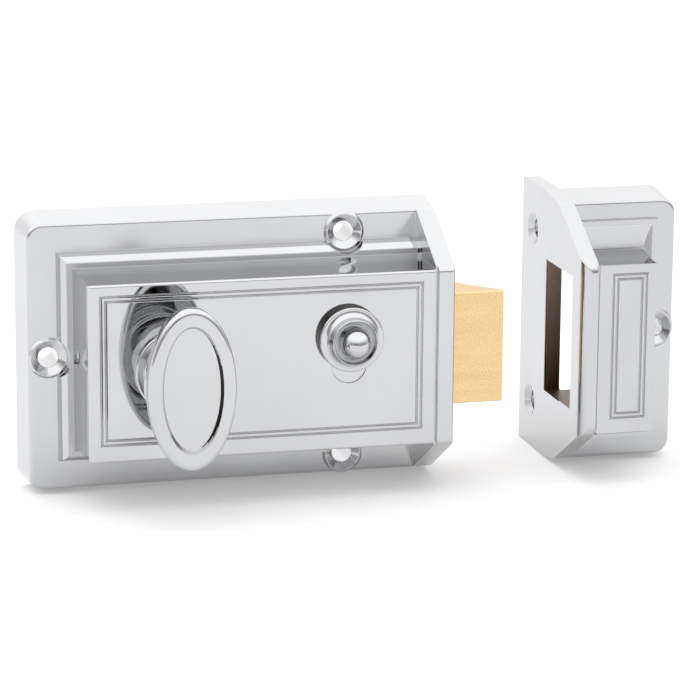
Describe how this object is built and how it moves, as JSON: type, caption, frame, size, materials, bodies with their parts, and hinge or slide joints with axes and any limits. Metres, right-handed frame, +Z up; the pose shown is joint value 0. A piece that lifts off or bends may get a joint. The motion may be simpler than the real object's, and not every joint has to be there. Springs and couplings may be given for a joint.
{
  "type": "rim night latch",
  "caption": "Surface-mounted rim night latch: moulded chrome case with oval turn knob, hold-back snib and sprung bevelled brass bolt, and the matching jamb keeper.",
  "frame": {"origin": "on the knob's axis, in the plane where the case lies on the door", "axes": "+X along the bolt towards the keeper, -Y out of the door to the front, +Z up"},
  "size_m": [0.1455, 0.0594, 0.06],
  "materials": {
    "chrome": "bright polished chrome plate on a zinc casting",
    "satin_brass": "drawn brass, satin, finely lined along its length",
    "plain_brass": "plain turned brass",
    "plated_steel": "zinc-plated steel",
    "spring_steel": "dark spring steel"
  },
  "bodies": {
    "case": {"case": "chrome", "back_plate": "plated_steel", "back_plate_screws": "plated_steel", "knob_rose": "chrome", "bolt_spring": "spring_steel", "spring_guide": "plated_steel", "spring_seat": "plain_brass", "keeper": "chrome"},
    "knob": {"turn_knob": "chrome", "spindle": "plated_steel", "spindle_washer": "plain_brass", "spindle_clip": "spring_steel", "retractor_cam": "plated_steel", "cam_pin": "spring_steel"},
    "bolt": {"latch_bolt": "satin_brass", "bolt_tail": "plated_steel", "bolt_rivets": "plain_brass", "drive_pins": "spring_steel"},
    "snib": {"snib_button": "chrome", "snib_slide": "plated_steel", "snib_washer": "spring_steel"}
  },
  "joints": [
    {"name": "knob_turn", "type": "hinge", "parent": "case", "child": "knob", "pos_m": [0, 0, 0], "axis": [0, -1, 0], "range_deg": [0, 70]},
    {"name": "bolt_slide", "type": "slide", "parent": "case", "child": "bolt", "axis": [-1, 0, 0], "range_m": [0, 0.0124], "stiffness_N_per_m": 900, "springref_m": -0.006, "deforming": ["bolt_spring"]},
    {"name": "snib_slide", "type": "slide", "parent": "case", "child": "snib", "axis": [0, 0, -1], "range_m": [0, 0.005]}
  ],
  "couplings": [
    {"joint": "knob_turn", "follows": "bolt_slide", "rad_per_m": 98.527}
  ]
}
